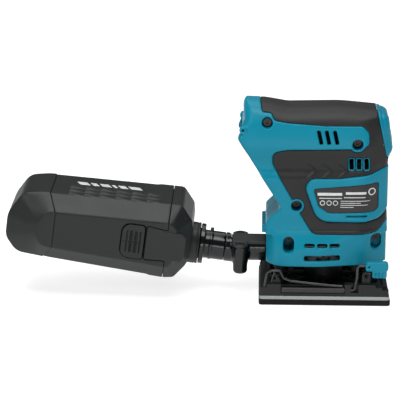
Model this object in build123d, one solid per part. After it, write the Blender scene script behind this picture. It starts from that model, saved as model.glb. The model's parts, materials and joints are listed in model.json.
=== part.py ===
from build123d import *

import math
import os

# Cordless quarter-sheet palm sander with a dust box. Millimetres.
# +X is the front, +Z is up, the tool's right side is -Y.
# The origin is the centre of the abrasive face of the pad.

# ---- driving dimensions -------------------------------------------------
PAD_LENGTH = 112.0
PAD_WIDTH = 102.0
FOAM_THICKNESS = 5.0
PLATE_THICKNESS = 3.0
CARRIER_TOP = 18.4
ECCENTRICITY = 0.75
CLEARANCE = 0.3

SKIRT_BOTTOM = 31.4
SKIRT_TOP = 61.0
FORM_BOTTOM = 20.0
SHELL = 3.0
RUBBER = 1.5
JOINT_GAP = 0.05

DIAGONAL_TOP = (-75.3, 139.5)
DIAGONAL_BOTTOM = (-37.5, 81.0)
RAIL_DEPTH = 9.0
PANEL_LOW = (57.3, 130.0)
PANEL_HIGH = (52.6, 158.0)
PANEL_LINE_LOW = (51.4, 123.3)
PANEL_LINE_HIGH = (43.1, 162.2)

MOTOR_RADIUS = 18.5
SHAFT_RADIUS = 3.0
PIN_RADIUS = 6.0
FAN_RADIUS = 30.0

PORT_HEIGHT = 36.8
PORT_RADIUS = 12.0
SWIVEL_X = -78.0
SWIVEL_Z = 35.7
BOX_TILT = 7.2

CLAMP_AXIS_Y = -48.4
CLAMP_AXIS_Z = 13.0

SCREW_PLACES = {
    "tail": (-50.2, 153.7),
    "front": (26.5, 136.4),
    "middle": (-24.5, 83.1),
    "rear_skirt": (-30.9, 52.0),
    "front_skirt": (43.7, 53.0),
}
SCREW_HOLE_RADIUS = 4.6
BIG = 120.0


# ---- helpers --------------------------------------------------------------
def reach(side, near, far):
    """The stretch of Y between two distances out from the middle, on one side."""
    return tuple(sorted((side * near, side * far)))


def rounded(points, radii):
    """A closed face of straight sides whose corners carry the given radii."""
    outline = FilletPolyline(*points, radius=radii, close=True)
    return make_face(outline)


def polygon(points):
    """A closed face of straight sides with sharp corners."""
    return make_face(Polyline(*points, close=True))


def smooth_face(*stretches):
    """A closed face of splines and straight stretches, joined end to end.

    Two points make a straight stretch and more make a spline.
    """
    edges = []
    for points in stretches:
        if len(points) == 2:
            edges.append(Line(*points))
        else:
            edges.append(Spline(*points))
    return make_face(edges)


def along_y(face, low, high):
    """Carries a face drawn in X and Z from y = low to y = high."""
    plane = Plane((0, high, 0), x_dir=(1, 0, 0), z_dir=(0, -1, 0))
    return extrude(plane * face, amount=high - low)


def along_x(face, low, high):
    """Carries a face drawn in Y and Z from x = low to x = high."""
    plane = Plane((low, 0, 0), x_dir=(0, 1, 0), z_dir=(1, 0, 0))
    return extrude(plane * face, amount=high - low)


def along_z(face, low, high):
    """Carries a face drawn in X and Y from z = low to z = high."""
    return extrude(Pos(0, 0, low) * face, amount=high - low)


def block(x, y, z):
    """A box given by its limits on each axis."""
    return Box(x[1] - x[0], y[1] - y[0], z[1] - z[0], align=(Align.MIN,) * 3).moved(
        Location((x[0], y[0], z[0]))
    )


def post(x, y, radius, low, high):
    """An upright cylinder."""
    return along_z(Pos(x, y) * Circle(radius), low, high)


def rod_y(x, z, radius, low, high):
    """A cylinder along Y."""
    return along_y(Pos(x, z) * Circle(radius), low, high)


def rod_x(y, z, radius, low, high):
    """A cylinder along X."""
    return along_x(Pos(y, z) * Circle(radius), low, high)


def ring_z(x, y, outer, inner, low, high):
    """An upright tube."""
    return post(x, y, outer, low, high) - post(x, y, inner, low - 1, high + 1)


def right_half():
    return block((-BIG * 3, BIG), (-BIG, -JOINT_GAP / 2), (-10, BIG * 2))


def left_half():
    return block((-BIG * 3, BIG), (JOINT_GAP / 2, BIG), (-10, BIG * 2))


def mirrored(shape):
    """The same shape on the tool's other side."""
    return mirror(shape, about=Plane.XZ)


# ---- the outer form of the housing -----------------------------------------
def side_outline():
    """The housing's silhouette from the side, in X and Z."""
    points = [
        (53.5, FORM_BOTTOM),
        (53.5, 122.5),
        PANEL_LOW,
        PANEL_HIGH,
        (43.5, 163.4),
        (12.0, 167.6),
        (-33.0, 166.0),
        (-52.0, 171.8),
        (-71.8, 173.4),
        (-70.0, 155.0),
        DIAGONAL_TOP,
        DIAGONAL_BOTTOM,
        (-50.5, 68.5),
        (-50.5, FORM_BOTTOM),
    ]
    radii = [0.5, 4.0, 5.0, 6.0, 6.0, 80.0, 20.0, 16.0, 3.0, 6.0, 3.0, 4.0, 4.0, 0.5]
    return rounded(points, radii)


def front_outline():
    """The housing's silhouette from the front, in Y and Z."""
    half = [
        (42.0, FORM_BOTTOM),
        (42.0, 45.5),
        (36.3, 58.5),
        (34.8, 66.0),
        (34.8, 107.0),
        (30.5, 114.0),
        (30.0, 123.0),
        (34.3, 133.0),
        (33.6, 141.0),
        (29.5, 154.0),
        (20.0, 167.0),
        (0.0, 176.0),
    ]
    radii = [0.5, 1.0, 6.0, 30.0, 6.0, 8.0, 8.0, 8.0, 20.0, 12.0, 24.0, 30.0]
    other = [(-y, z) for y, z in reversed(half[:-1])]
    return rounded(half + other, radii + list(reversed(radii[:-1])))


def skirt_plan():
    """The dust skirt's outline from above, in X and Y."""
    half = [(-50.5, 0), (-50.5, 26.0), (-41.0, 41.0), (-10.0, 42.8), (34.0, 34.0), (53.5, 19.0), (53.5, 0)]
    radii = [0.0, 7.0, 16.0, 60.0, 30.0, 5.0, 0.0]
    points = half + [(x, -y) for x, y in reversed(half[1:-1])]
    corner_radii = radii + list(reversed(radii[1:-1]))
    return rounded([points[i] for i in range(len(points)) if corner_radii[i] > 0],
                   [r for r in corner_radii if r > 0])


def handle_plan():
    """The motor section and handle's outline from above, in X and Y."""
    half = [(-78.0, 33.0), (-40.0, 36.0), (-10.0, 36.0), (32.0, 35.0), (52.0, 21.5), (58.0, 17.0)]
    radii = [5.0, 60.0, 80.0, 30.0, 20.0, 4.0]
    points = half + [(x, -y) for x, y in reversed(half)]
    return rounded(points, radii + list(reversed(radii)))


def envelope(inset=0.0):
    """The housing's solid form, with every wall moved in by inset."""
    def moved_in(face):
        return offset(face, amount=-inset, kind=Kind.INTERSECTION) if inset else face

    side = along_y(moved_in(side_outline()), -60, 60)
    front = along_x(moved_in(front_outline()), -100, 100)
    skirt = along_z(moved_in(skirt_plan()), SKIRT_BOTTOM, SKIRT_TOP)
    upper = along_z(moved_in(handle_plan()), SKIRT_TOP, 200)
    return (side & skirt & front) + (side & upper & front)


def diagonal_plane(depth=0.0):
    """The rear battery face's plane, moved into the housing by depth.

    Its X runs down the face, its Y across the tool and its Z out of the face.
    """
    run_x = DIAGONAL_BOTTOM[0] - DIAGONAL_TOP[0]
    run_z = DIAGONAL_BOTTOM[1] - DIAGONAL_TOP[1]
    length = math.hypot(run_x, run_z)
    down = Vector(run_x / length, 0, run_z / length)
    out = Vector(run_z / length, 0, -run_x / length)
    middle = Vector(
        (DIAGONAL_TOP[0] + DIAGONAL_BOTTOM[0]) / 2,
        0,
        (DIAGONAL_TOP[1] + DIAGONAL_BOTTOM[1]) / 2,
    )
    return Plane(middle - out * depth, x_dir=down, z_dir=out)


def on_diagonal(length, width, thickness, depth, shift=0.0):
    """A box on the battery face, whose inner side is depth below the face."""
    box = Pos(shift, 0, thickness / 2) * Box(length, width, thickness)
    return diagonal_plane(depth) * box


# ---- regions of the skin ---------------------------------------------------
def rubber_region():
    """The overmoulded grip's outline from the side, without the pod."""
    whole = smooth_face(
        [(-57.0, 172.0), (-54.9, 165.1), (-51.0, 161.8), (-47.3, 161.0)],
        [(-47.3, 161.0), (-44.1, 156.4), (-33.3, 154.3), (-1.0, 152.0), (25.8, 151.9), (33.5, 148.0),
         (36.0, 141.0), (31.3, 133.0)],
        [(31.3, 133.0), (-33.0, 131.6)],
        [(-33.0, 131.6), (-39.4, 129.9), (-43.7, 127.0), (-45.0, 122.0), (-38.0, 105.4), (-28.8, 89.9)],
        [(-28.8, 89.9), (-17.9, 70.3)],
        [(-17.9, 70.3), (-13.2, 64.0), (-7.8, 60.1), (0.0, 58.5)],
        [(0.0, 58.5), (32.1, 58.9)],
        [(32.1, 58.9), (39.7, 59.9), (47.2, 63.9), (51.6, 68.0), (60.0, 78.0)],
        [(60.0, 78.0), (60.0, 190.0)],
        [(60.0, 190.0), (-57.0, 190.0)],
        [(-57.0, 190.0), (-57.0, 172.0)],
    )
    return whole - pod_region()


def pod_region():
    """The bare pod on the side of the motor section, open to the front."""
    return smooth_face(
        [(60.0, 118.5), (38.3, 110.4), (8.2, 107.0), (-9.1, 106.8)],
        [(-9.1, 106.8), (-14.5, 105.0), (-16.3, 100.0), (-14.2, 91.4)],
        [(-14.2, 91.4), (-10.2, 81.2), (-5.5, 74.8), (0.6, 71.1), (12.8, 69.3)],
        [(12.8, 69.3), (28.0, 69.1)],
        [(28.0, 69.1), (39.3, 70.0), (46.8, 72.4), (51.3, 77.2), (60.0, 90.0)],
        [(60.0, 90.0), (60.0, 118.5)],
    )


def label_region():
    """The name plate's outline in the pod."""
    points = [(-10.3, 98.4), (45.0, 103.2), (45.2, 78.0), (3.0, 77.0), (-6.0, 83.0)]
    return rounded(points, [2.0, 2.0, 5.0, 9.0, 6.0])


def panel_region():
    """Everything in front of the line where the switch panel starts."""
    slope = (PANEL_LINE_HIGH[0] - PANEL_LINE_LOW[0]) / (PANEL_LINE_HIGH[1] - PANEL_LINE_LOW[1])
    rise = 10.0
    top = (PANEL_LINE_HIGH[0] + slope * rise, PANEL_LINE_HIGH[1] + rise)
    return polygon([PANEL_LINE_LOW, (70.0, PANEL_LINE_LOW[1]), (70.0, top[1]), top])


def upper_vents():
    """Three slots in the side of the handle, leaning forward as they go down."""
    slots = Sketch()
    for left in (-8.3, -1.7, 5.2):
        slots += rounded([(left, 148.1), (left + 3.1, 148.1), (left + 5.7, 136.6), (left + 2.6, 136.6)],
                         [0.5] * 4)
    return slots


def waist_vents():
    """Three slots in the grip at the waist."""
    slots = Sketch()
    for left in (19.6, 26.0, 32.3):
        slots += rounded([(left, 124.0), (left + 3.6, 124.0), (left + 3.9, 114.4), (left + 0.3, 114.4)],
                         [0.6] * 4)
    return slots


def skirt_vents():
    """Three short slots over the long window of the fan chamber."""
    slots = Pos(-2.3, 38.7) * RectangleRounded(30.7, 4.7, 1.5)
    for left in (-17.4, -6.5, 4.0):
        slots += Pos(left + 4.3, 49.5) * RectangleRounded(8.6, 3.4, 1.2)
    return slots


# ---- housing ---------------------------------------------------------------
def housing_cavity():
    """The room inside the housing, clear of the battery slide's wall."""
    room = envelope(SHELL)
    room -= on_diagonal(90, 120, 60, RAIL_DEPTH + SHELL, shift=-5.5)
    fan_chamber = along_z(offset(skirt_plan(), amount=-SHELL, kind=Kind.INTERSECTION), 20, 46.5)
    return room + fan_chamber


def battery_slot():
    """The T-shaped channel that a slide-on battery runs down, open at its upper end."""
    slot = on_diagonal(78, 42.0, 30.0, 3.5, shift=-6.0)
    slot += on_diagonal(75, 50.0, RAIL_DEPTH - 3.5, RAIL_DEPTH, shift=-7.5)
    return slot


def screw_bosses():
    """The pillars that the housing screws pass through."""
    bosses = Part()
    for x, z in SCREW_PLACES.values():
        bosses += rod_y(x, z, 4.8, -BIG / 2, BIG / 2)
        bosses += rod_y(x, z, 6.0, -BIG / 2, screw_seat(x) + 2.0)
    return bosses


def screw_holes():
    """Head recesses on the right, and the screws' bores."""
    holes = Part()
    for x, z in SCREW_PLACES.values():
        holes += rod_y(x, z, SCREW_HOLE_RADIUS, -60, screw_seat(x))
        holes += rod_y(x, z, 1.9, -60, 12)
    return holes


def screw_seat(x):
    """How far from the middle each screw's head is seated."""
    return -15.0 if x > 40 else -22.0


def inner_ribs():
    """The ribs that hold the motor, its bracket, the electronics and the rubber legs."""
    ribs = Part()
    for low in (70.0, 94.0):
        ribs += block((-26, 22), (-40, 40), (low, low + 2.5)) - post(MOTOR_X, 0, MOTOR_RADIUS, 60, 110)
    for side in (-1, 1):
        ribs += block((-12, 12), reach(side, 32, 42), (45.0, 46.8))
        ribs += block((27, 39), reach(side, 19, 40), (88, 90.5))
        ribs += block((36, 42), reach(side, 11, 40), (139, 141.5))
        for x in (-38.0, 38.0):
            ribs += post(x, side * 19.0, COLUMN_RADIUS + 1.2, COLUMN_TOP, 46)
            ribs += block((x - 2.5, x + 2.5), reach(side, 19, 42), (COLUMN_TOP, 46))
    return ribs


def housing_solid():
    """Both halves of the plastic housing, still in one piece."""
    outer = envelope()
    room = housing_cavity()
    body = outer - room
    body += (screw_bosses() + inner_ribs()) & room
    body += block((-54.2, -49.0), (-22, 22), (55.5, 63.5))
    for side in (-1, 1):
        body += rod_y(-70.6, 147.8, 3.4, *reach(side, 25.5, 31.0))
    body -= battery_slot()
    body -= screw_holes()
    body -= rod_x(0, PORT_HEIGHT, 9.6, -60, -44)
    body -= ring_cut()
    vents = upper_vents() + waist_vents() + skirt_vents()
    for low, high in ((-60, -24), (24, 60)):
        body -= along_y(vents, low, high)
    body -= along_y(panel_region(), -60, 60)
    skin = outer - envelope(RUBBER)
    body -= skin & along_y(rubber_region(), -60, 60)
    body -= block((-BIG, BIG), (-60, 60), (0, SKIRT_BOTTOM))
    body -= label_recess()
    return body


def ring_cut():
    """The seat that the nozzle's plug fills in the rear of the skirt."""
    return rod_x(0, PORT_HEIGHT, PORT_RADIUS, -60, -50.8)


def label_recess():
    """The shallow seats of the two name plates."""
    inner = envelope(0.8)
    outer = envelope(0.0)
    return (outer - inner) & along_y(label_region(), -60, 60)


def make_housing():
    body = housing_solid()
    return {
        "housing_right": body & right_half(),
        "housing_left": body & left_half(),
    }


def make_grips():
    skin = envelope() - envelope(RUBBER)
    grip = skin & along_y(rubber_region(), -60, 60)
    grip -= along_y(panel_region(), -60, 60)
    grip -= screw_holes()
    grip -= battery_slot()
    for low, high in ((-60, -24), (24, 60)):
        grip -= along_y(upper_vents() + waist_vents(), low, high)
    return {
        "grip_right": grip & right_half(),
        "grip_left": grip & left_half(),
    }


def make_labels():
    plate = (envelope() - envelope(0.8)) & along_y(offset(label_region(), amount=-0.1), -60, 60)
    return {
        "nameplate_right": plate & right_half(),
        "nameplate_left": plate & left_half(),
    }


def housing_screw(x, z):
    """One self-tapping screw, with its head on the right."""
    seat = screw_seat(x)
    screw = rod_y(x, z, 3.6, seat - 2.4, seat)
    screw += rod_y(x, z, 1.85, seat, 11.0)
    return screw - rod_y(x, z, 1.5, seat - 3, seat - 1)


def make_housing_screws():
    return Compound(children=[housing_screw(x, z) for x, z in SCREW_PLACES.values()])


# ---- switch panel ----------------------------------------------------------
def panel_place(share):
    """A plane on the switch panel's face; share runs from its foot to its top."""
    run = Vector(PANEL_HIGH[0] - PANEL_LOW[0], 0, PANEL_HIGH[1] - PANEL_LOW[1])
    up = run.normalized()
    out = Vector(up.Z, 0, -up.X)
    place = Vector(PANEL_LOW[0], 0, PANEL_LOW[1]) + run * share
    return Plane(place, x_dir=(0, 1, 0), z_dir=out)


def button(share):
    """A round push button with a flange behind the panel."""
    face = Pos(0, 0, -1.6) * Cylinder(BUTTON_RADIUS, 4.0)
    flange = Pos(0, 0, -5.5) * Cylinder(BUTTON_RADIUS + 0.8, 1.2)
    neck = Pos(0, 0, -4.4) * Cylinder(BUTTON_RADIUS - 0.5, 2.2)
    return panel_place(share) * (face + flange + neck)


BUTTON_RADIUS = 4.6
BUTTON_SHARES = {"on_button": 0.72, "off_button": 0.31}


def make_switch_panel():
    gap = 0.1
    skin = envelope() - envelope(SHELL)
    panel = skin & along_y(Pos(gap, 0) * panel_region(), -60, 60)
    for share in BUTTON_SHARES.values():
        panel -= panel_place(share) * Cylinder(BUTTON_RADIUS + CLEARANCE, 20.0)
    return panel


def make_switch_module():
    """The switch behind the panel, with a plunger recess for each button."""
    module = block((33.0, 45.0), (-11, 11), (128, 153))
    module += block((28.0, 33.0), (-6, 6), (143, 151))
    return module


# ---- motor and drive -------------------------------------------------------
MOTOR_X = -ECCENTRICITY


def make_motor():
    can = ring_z(MOTOR_X, 0, MOTOR_RADIUS, 17.2, 58, 100)
    can += ring_z(MOTOR_X, 0, MOTOR_RADIUS, 8.0, 56.6, 58)
    magnets = ring_z(MOTOR_X, 0, 17.15, 14.4, 62, 96)
    magnets -= block((-40, 40), (-3, 3), (50, 110))
    end_bell = ring_z(MOTOR_X, 0, MOTOR_RADIUS, 15.0, 100, 108)
    end_bell += ring_z(MOTOR_X, 0, MOTOR_RADIUS, 7.05, 108, 110)
    end_bell += ring_z(MOTOR_X, 0, 10.0, 7.05, 110, 115)
    brushes = Part()
    holders = Part()
    for side in (-1, 1):
        near, far = sorted((side * 6.1, side * 14.0))
        brushes += block((MOTOR_X - 2, MOTOR_X + 2), (near, far), (101.5, 105.5))
        near, far = sorted((side * 8.0, side * 15.0))
        holder = block((MOTOR_X - 3, MOTOR_X + 3), (near, far), (100.5, 106.5))
        holders += holder - block((MOTOR_X - 2.1, MOTOR_X + 2.1), (-20, 20), (101.4, 105.6))
    return {
        "motor_can": can,
        "motor_magnets": magnets,
        "motor_end_bell": end_bell + holders,
        "motor_brushes": brushes,
        "motor_top_bearing": ring_z(MOTOR_X, 0, 7.0, SHAFT_RADIUS + 0.03, 110, 115),
        "motor_lower_bearing": ring_z(MOTOR_X, 0, 11.0, SHAFT_RADIUS + 0.03, 48, 55),
    }


def make_bearing_bracket():
    """The plate between the motor and the fan, which seats the lower bearing."""
    bracket = block((-22, 16), (-34.5, 34.5), (46.8, 48)) - post(MOTOR_X, 0, 9.0, 40, 50)
    bracket += ring_z(MOTOR_X, 0, 14.0, 11.0, 48, 56.4)
    for turn in range(4):
        angle = math.radians(45 + 90 * turn)
        bracket += post(MOTOR_X + 20 * math.cos(angle), 20 * math.sin(angle), 3.0, 48, 54)
    return bracket


def make_drive():
    shaft = post(MOTOR_X, 0, SHAFT_RADIUS, 30.5, 116.5)
    armature = ring_z(MOTOR_X, 0, 13.9, SHAFT_RADIUS, 64, 94)
    slots = Part()
    for turn in range(10):
        angle = 36 * turn
        slots += Pos(MOTOR_X, 0) * Rot(0, 0, angle) * block((11, 15), (-0.9, 0.9), (63, 95))
    commutator = ring_z(MOTOR_X, 0, 6.0, SHAFT_RADIUS, 98, 107)
    return {
        "motor_shaft": shaft,
        "motor_armature": armature - slots,
        "motor_commutator": commutator,
        "fan": make_fan(),
        "counterweight": make_counterweight(),
    }


def make_fan():
    """The dust and cooling fan, with blades on its underside."""
    fan = ring_z(MOTOR_X, 0, FAN_RADIUS, SHAFT_RADIUS, 42.5, 44.5)
    fan += ring_z(MOTOR_X, 0, 7.5, SHAFT_RADIUS, 36.0, 42.5)
    for turn in range(16):
        blade = block((10.0, FAN_RADIUS - 0.5), (-0.7, 0.7), (36.0, 43.0))
        fan += Pos(MOTOR_X, 0) * Rot(0, 0, 22.5 * turn) * blade
    return fan


def make_counterweight():
    """The eccentric pin with its balance weight."""
    weight = post(MOTOR_X, 0, 13.0, 31.0, 35.8) & block((-30, MOTOR_X), (-30, 30), (30, 36))
    hub = post(MOTOR_X, 0, 8.0, 29.5, 35.8)
    pin = post(0, 0, PIN_RADIUS - 0.03, 18.8, 29.5)
    return (weight + hub + pin) - post(MOTOR_X, 0, SHAFT_RADIUS, 30.5, 40)


# ---- electronics -----------------------------------------------------------
def make_controller():
    case = block((25.5, 41.0), (-19, 19), (70, 108))
    case -= block((27.5, 45.0), (-17, 17), (72, 106))
    board = block((36.0, 37.6), (-16.5, 16.5), (72.5, 105.5))
    return {"controller_case": case, "controller_board": board}


def make_terminals():
    base = on_diagonal(34, 26, 3.6, RAIL_DEPTH, shift=-8)
    blades = Part()
    for place in (-8.0, 0.0, 8.0):
        blade = Pos(-4, place, 0) * Box(20, 1.0, 4.6)
        blades += diagonal_plane(RAIL_DEPTH - 3.6 - 2.3) * blade
    return {"terminal_block": base, "terminal_blades": blades}


# ---- base ------------------------------------------------------------------
DUST_HOLES = [(x, y) for x in (-38.0, -13.0, 13.0, 38.0) for y in (-30.0, 30.0)]
BASE_SCREWS = [(x, y) for x in (-24.0, 24.0) for y in (-14.0, 14.0)]
COLUMNS = [(x, y) for x in (-38.0, 38.0) for y in (-19.0, 19.0)]
COLUMN_RADIUS = 5.0
COLUMN_TOP = SKIRT_BOTTOM + 5.0


def make_foam():
    foam = along_z(RectangleRounded(PAD_LENGTH, PAD_WIDTH, 3.0), 0, FOAM_THICKNESS)
    for x, y in DUST_HOLES:
        foam -= post(x, y, 4.5, -1, 10)
    return foam


def make_base_plate():
    top = FOAM_THICKNESS + PLATE_THICKNESS
    plate = along_z(RectangleRounded(PAD_LENGTH - 1.5, PAD_WIDTH - 1.5, 2.5), FOAM_THICKNESS, top)
    for x, y in DUST_HOLES:
        plate -= post(x, y, 4.5, 0, 20)
    for x, y in BASE_SCREWS:
        plate -= post(x, y, 2.1, 0, 20)
    return plate


def make_carrier():
    """The moulded carrier that joins the bearing, the pad and the clamps."""
    low = FOAM_THICKNESS + PLATE_THICKNESS
    carrier = along_z(RectangleRounded(109.0, 99.0, 3.0), low, 10.4)
    carrier += block((-53, 53), (-43.5, 43.5), (10.4, 15.5))
    pocket = block((-50, 50), (-40.5, 40.5), (12.4, 20))
    carrier -= pocket
    for x, y in COLUMNS:
        carrier += post(x, y, COLUMN_RADIUS + 3.4, 10.4, CARRIER_TOP)
    carrier += post(0, 0, 17.0, 10.4, 27.2)
    for turn in range(8):
        carrier += Rot(0, 0, 45 * turn) * block((14.5, 38), (-1, 1), (10.4, 15.5))
    for side in (-1, 1):
        carrier += carrier_side(side)
    carrier &= block((-54.5, 54.5), (-50.2, 50.2), (0, 40))
    carrier -= post(0, 0, 14.0, 18.5, 40)
    carrier -= post(0, 0, 11.5, 12.4, 40)
    for x, y in COLUMNS:
        carrier -= post(x, y, COLUMN_RADIUS + 2 * ECCENTRICITY + 0.4, 12.4, 40)
    for x, y in DUST_HOLES:
        carrier -= post(x, y, 4.5, 0, 40)
    for x, y in BASE_SCREWS:
        carrier -= post(x, y, 1.3, 0, 16)
    return carrier


def carrier_side(side):
    """The raised ends of one long side, with the lever's stop and the spring's lug."""
    blocks = block((-54.5, -37.2), (-50.2, -43), (8, 15.6))
    blocks += block((-49.2, -37.2), (-50.2, -43), (15, 18.4))
    blocks += block((17.2, 43.4), (-50.2, -43), (8, 18.4))
    blocks += block((43.4, 49.0), (-50.2, -43), (8, 15.9))
    blocks += block((49.0, 54.5), (-50.2, -43), (8, 13.6))
    blocks -= rod_x(CLAMP_AXIS_Y, CLAMP_AXIS_Z, 1.3, 15, 36)
    blocks -= block((22.5, 28.8), (-60, -46), (11.4, 30))
    stop_outline = [(31.8, 17.0), (39.0, 17.0), (39.0, 28.7), (31.8, 28.7)]
    stop = along_y(rounded(stop_outline, [0.3, 0.3, 3.4, 3.4]), -46.5, -43)
    stop -= rod_y(35.4, 25.0, 1.8, -60, -40)
    lug = along_y(polygon([(-46.0, 17.5), (-37.4, 17.5), (-37.4, 20.0), (-43.0, 28.0)]), -47.0, -43)
    lug -= rod_y(-42.4, 22.8, 1.4, -60, -40)
    shape = blocks + stop + lug
    return shape if side < 0 else mirrored(shape)


def make_base():
    screws = Part()
    for x, y in BASE_SCREWS:
        screws += post(x, y, 1.25, FOAM_THICKNESS + 1.2, 15.0)
        screws += post(x, y, 2.0, FOAM_THICKNESS + 0.1, FOAM_THICKNESS + 1.2)
    return {
        "foam_pad": make_foam(),
        "base_plate": make_base_plate(),
        "base_carrier": make_carrier(),
        "eccentric_bearing": ring_z(0, 0, 14.0, PIN_RADIUS, 18.5, 26.5),
        "base_screws": screws,
    }


def make_columns():
    """Rubber legs that keep the pad from turning."""
    legs = Part()
    for x, y in COLUMNS:
        legs += post(x, y, COLUMN_RADIUS, 13.0, SKIRT_BOTTOM + 2)
        legs += post(x, y, COLUMN_RADIUS + 1.2, SKIRT_BOTTOM + 2, COLUMN_TOP)
    return legs


# ---- paper clamps ----------------------------------------------------------
def wire(points, diameter, bend):
    """A bent round wire through the given points."""
    path = FilletPolyline(*points, radius=bend)
    start = Plane(origin=path @ 0, z_dir=path % 0)
    return sweep(start * Circle(diameter / 2), path=path)


def make_clamp_jaw():
    jaw = rod_x(CLAMP_AXIS_Y, CLAMP_AXIS_Z, 2.4, -36.6, 16.6)
    jaw += block((-36.6, 16.6), (CLAMP_AXIS_Y, -44.2), (10.9, 13.2))
    jaw -= rod_x(CLAMP_AXIS_Y, CLAMP_AXIS_Z, 1.25, -40, 20)
    for step in range(13):
        x = -34.6 + 4.1 * step
        jaw -= block((x, x + 1.6), (-45.4, -44), (10, 14))
    return jaw


def make_clamp_wire():
    y = CLAMP_AXIS_Y
    points = [
        (-34.0, y, CLAMP_AXIS_Z),
        (25.2, y, CLAMP_AXIS_Z),
        (27.4, y, 24.0),
        (27.6, y, 35.0),
        (46.0, y, 35.0),
    ]
    return wire(points, 2.5, [3.0, 4.0, 3.0])


def make_clamp_knob():
    upper = [(34.6, 30.9), (53.8, 30.9), (53.8, 39.0), (34.6, 39.0)]
    lower = [(40.2, 24.8), (52.6, 24.8), (52.6, 33.0), (40.2, 33.0)]
    knob = along_y(rounded(upper, [1.5, 2.0, 2.5, 2.5]), CLAMP_AXIS_Y - 3.6, CLAMP_AXIS_Y + 3.0)
    knob += along_y(rounded(lower, [1.5, 1.5, 0.5, 0.5]), CLAMP_AXIS_Y - 2.8, CLAMP_AXIS_Y + 2.4)
    return knob - rod_x(CLAMP_AXIS_Y, 35.0, 1.25, 30, 46)


def make_clamp_spring():
    y = CLAMP_AXIS_Y - 0.4
    points = [
        (-51.0, y, 15.8),
        (-49.0, y, 28.0),
        (-45.0, y, 30.0),
        (-38.0, y, 30.0),
        (-34.8, y, 23.4),
        (-28.2, y, 20.9),
        (3.6, y, 17.6),
        (15.1, y, 16.9),
    ]
    return wire(points, 2.2, 1.2)


# ---- nozzle ----------------------------------------------------------------
def tilted(shape):
    """Places a part of the dust line, drawn level about the swivel point."""
    return Pos(SWIVEL_X, 0, SWIVEL_Z) * Rot(0, BOX_TILT, 0) * shape


def tube_x(outer, inner, low, high, height=0.0):
    """A tube along X."""
    return rod_x(0, height, outer, low, high) - rod_x(0, height, inner, low - 1, high + 1)


NOZZLE_SCREW_X = -72.3
NOZZLE_SCREW_Y = 18.0


def make_nozzle():
    outer = rod_x(0, PORT_HEIGHT, PORT_RADIUS, SWIVEL_X, -50.9)
    outer += tilted(rod_x(0, 0, 12.6, -8.0, 1.5))
    arm = (NOZZLE_SCREW_X - 5, NOZZLE_SCREW_X + 5)
    for side in (-1, 1):
        outer += post(NOZZLE_SCREW_X, side * NOZZLE_SCREW_Y, 6.2, 18.4, 42.0)
        outer += block(arm, reach(side, 0, NOZZLE_SCREW_Y), (30, 42))
    outer += rod_x(0, PORT_HEIGHT, 9.5, -50.9, -45.5)
    bore = rod_x(0, PORT_HEIGHT, 7.0, -81, -40) + tilted(rod_x(0, 0, 9.0, -10, -1.7))
    cover = block((-79.0, -50.9), (-12.0, 12.0), (42.05, 45.1))
    for side in (-1, 1):
        cover += post(NOZZLE_SCREW_X, side * NOZZLE_SCREW_Y, 6.2, 42.05, 45.1)
        cover += block(arm, reach(side, 0, NOZZLE_SCREW_Y), (42.05, 45.1))
    outer -= block((-79.05, -50.9), (-30, 30), (45.1, 60))
    cover -= rod_x(0, PORT_HEIGHT, 7.0, -100, -40)
    body = outer - bore - block((-79.05, -50.9), (-24.5, 24.5), (42.0, 60))
    screws = Part()
    for side in (-1, 1):
        y = side * NOZZLE_SCREW_Y
        cover -= post(NOZZLE_SCREW_X, y, 4.2, 43.4, 50)
        cover -= post(NOZZLE_SCREW_X, y, 1.8, 40, 50)
        body -= post(NOZZLE_SCREW_X, y, 1.8, 26, 50)
        screw = post(NOZZLE_SCREW_X, y, 3.6, 43.4, 44.8) + post(NOZZLE_SCREW_X, y, 1.75, 27, 43.4)
        screws += screw - post(NOZZLE_SCREW_X, y, 1.3, 44, 46)
    return {"nozzle_body": body, "nozzle_cover": cover, "nozzle_screws": screws}


def make_swivel_tube():
    tube = rod_x(0, 0, 12.4, -26.0, -8.3)
    tube += rod_x(0, 0, 17.5, -30.0, -26.0)
    tube += rod_x(0, 0, 13.0, -42.0, -30.0)
    tube += rod_x(0, 0, 8.94, -8.3, -2.8)
    tube += rod_x(0, 0, 12.9, -21.6, -19.4)
    tube += post(-20.5, 0, 1.5, 11.0, 15.2)
    return tilted(tube - rod_x(0, 0, 7.2, -60, 10) - rod_x(0, 0, 10.5, -60, -10))


def make_box_collar():
    return tilted(tube_x(18.0, 13.06, -41.5, -30.4))


# ---- dust box ----------------------------------------------------------------
BOX_HALF_WIDTH = 45.0
LID_FACE = -37.0
LID_SEAM = -58.4
CAP_SEAM = -155.0
BOX_END = -196.8
BOX_WALL = 2.0
BOX_CHAMFER = 13.5
CAP_STEP = 7.0
END_START = -169.0
END_TAPER = 0.5


def box_side_outline():
    """The dust box's silhouette from the side, in X and Z."""
    points = [
        (LID_FACE, -6.0),
        (LID_FACE, 20.0),
        (-38.6, 28.0),
        (-49.0, 40.6),
        (LID_SEAM, 40.4),
        (-168.0, 36.7),
        (-185.5, 33.4),
        (BOX_END, 14.0),
        (BOX_END, -7.0),
        (-186.0, -19.8),
        (CAP_SEAM, -22.0),
        (LID_SEAM, -26.0),
        (-49.0, -24.6),
        (-40.4, -13.0),
    ]
    radii = [3.0, 3.0, 6.0, 6.0, 20.0, 30.0, 14.0, 20.0, 14.0, 14.0, 60.0, 20.0, 6.0, 8.0]
    return rounded(points, radii)


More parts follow.
